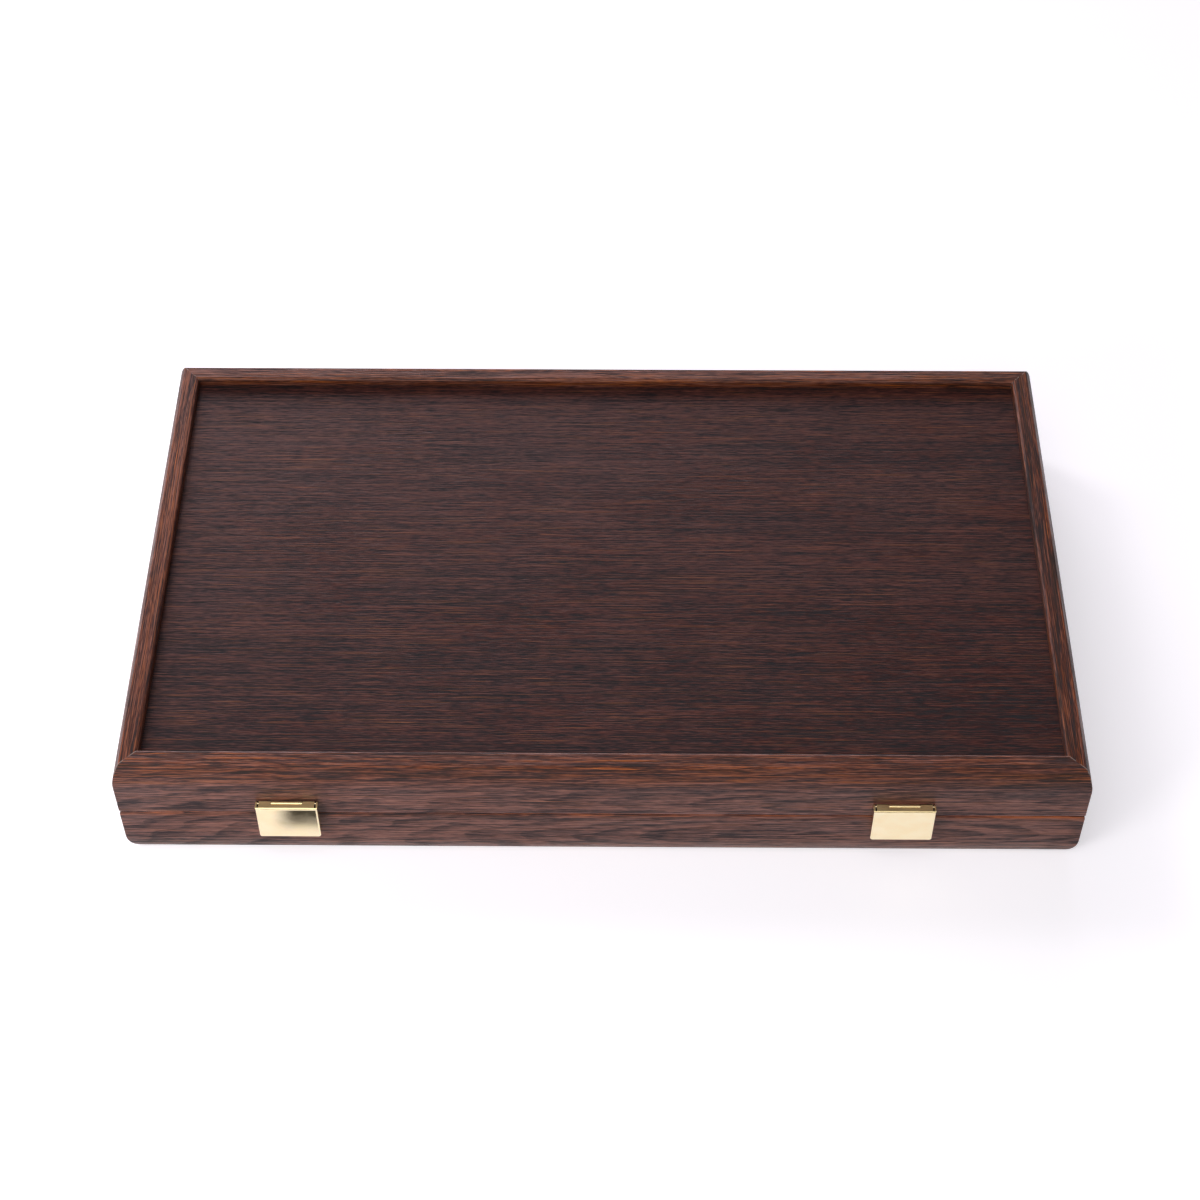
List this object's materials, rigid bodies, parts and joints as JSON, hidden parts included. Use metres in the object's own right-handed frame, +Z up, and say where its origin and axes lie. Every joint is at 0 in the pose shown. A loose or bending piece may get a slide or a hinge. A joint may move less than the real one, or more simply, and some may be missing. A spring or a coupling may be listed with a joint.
{
  "type": "backgammon board",
  "caption": "Folding wooden backgammon case with a recessed veneered panel on each half, inlaid points, checker racks, back hinges and front latches.",
  "frame": {"origin": "on the table, under the middle of the closed case", "axes": "+X along the hinge, to the right for someone who faces the latches; -Y towards the latches; +Z up"},
  "size_m": [0.48, 0.2898, 0.07],
  "materials": {
    "rail_wood": "satin lacquer over open dark grain",
    "panel_core": "raw plywood",
    "panel_veneer": "satin lacquer over fine straight dark grain",
    "field_veneer": "satin lacquer",
    "light_inlay": "satin lacquer",
    "dark_inlay": "satin lacquer",
    "rack_wood": "satin lacquer",
    "brass": "brushed",
    "latch_brass": "polished",
    "spring_steel": "bright",
    "light_checker": "polished",
    "dark_checker": "polished",
    "dice": "gloss",
    "pip_enamel": "gloss black"
  },
  "bodies": {
    "base": {"base_front_rail": "rail_wood", "base_back_rail": "rail_wood", "base_left_rail": "rail_wood", "base_right_rail": "rail_wood", "base_panel": "panel_core", "base_outer_veneer": "panel_veneer", "base_field_veneer": "field_veneer", "base_light_points": "light_inlay", "base_dark_points": "dark_inlay", "base_rack_rail": "rack_wood", "base_rack_stop_left": "rack_wood", "base_rack_stop_right": "rack_wood", "base_hinge_screws": "brass", "left_hinge_base_leaf": "brass", "left_hinge_pin": "brass", "left_latch_strike": "latch_brass", "right_hinge_base_leaf": "brass", "right_hinge_pin": "brass", "right_latch_strike": "latch_brass", "strike_screws": "brass", "light_checkers": "light_checker", "dark_checkers": "dark_checker", "dice": "dice", "dice_pips": "pip_enamel"},
    "lid": {"lid_front_rail": "rail_wood", "lid_back_rail": "rail_wood", "lid_left_rail": "rail_wood", "lid_right_rail": "rail_wood", "lid_panel": "panel_core", "lid_outer_veneer": "panel_veneer", "lid_field_veneer": "field_veneer", "lid_light_points": "light_inlay", "lid_dark_points": "dark_inlay", "lid_rack_rail": "rack_wood", "lid_rack_stop_left": "rack_wood", "lid_rack_stop_right": "rack_wood", "lid_hinge_screws": "brass", "left_hinge_lid_leaf": "brass", "left_latch_plate": "latch_brass", "right_hinge_lid_leaf": "brass", "right_latch_plate": "latch_brass", "latch_plate_screws": "brass"},
    "left_cover": {"left_latch_cover": "latch_brass", "left_latch_tongue": "spring_steel", "left_latch_pin": "latch_brass"},
    "right_cover": {"right_latch_cover": "latch_brass", "right_latch_tongue": "spring_steel", "right_latch_pin": "latch_brass"}
  },
  "joints": [
    {"name": "lid_hinge", "type": "hinge", "parent": "base", "child": "lid", "pos_m": [0, 0.1414, 0.035], "axis": [-1, 0, 0], "range_deg": [0, 180]},
    {"name": "left_latch_pivot", "type": "hinge", "parent": "lid", "child": "left_cover", "pos_m": [-0.1555, -0.1423, 0.0449], "axis": [-1, 0, 0], "range_deg": [0, 90]},
    {"name": "right_latch_pivot", "type": "hinge", "parent": "lid", "child": "right_cover", "pos_m": [0.1493, -0.1423, 0.0449], "axis": [-1, 0, 0], "range_deg": [0, 90]}
  ]
}
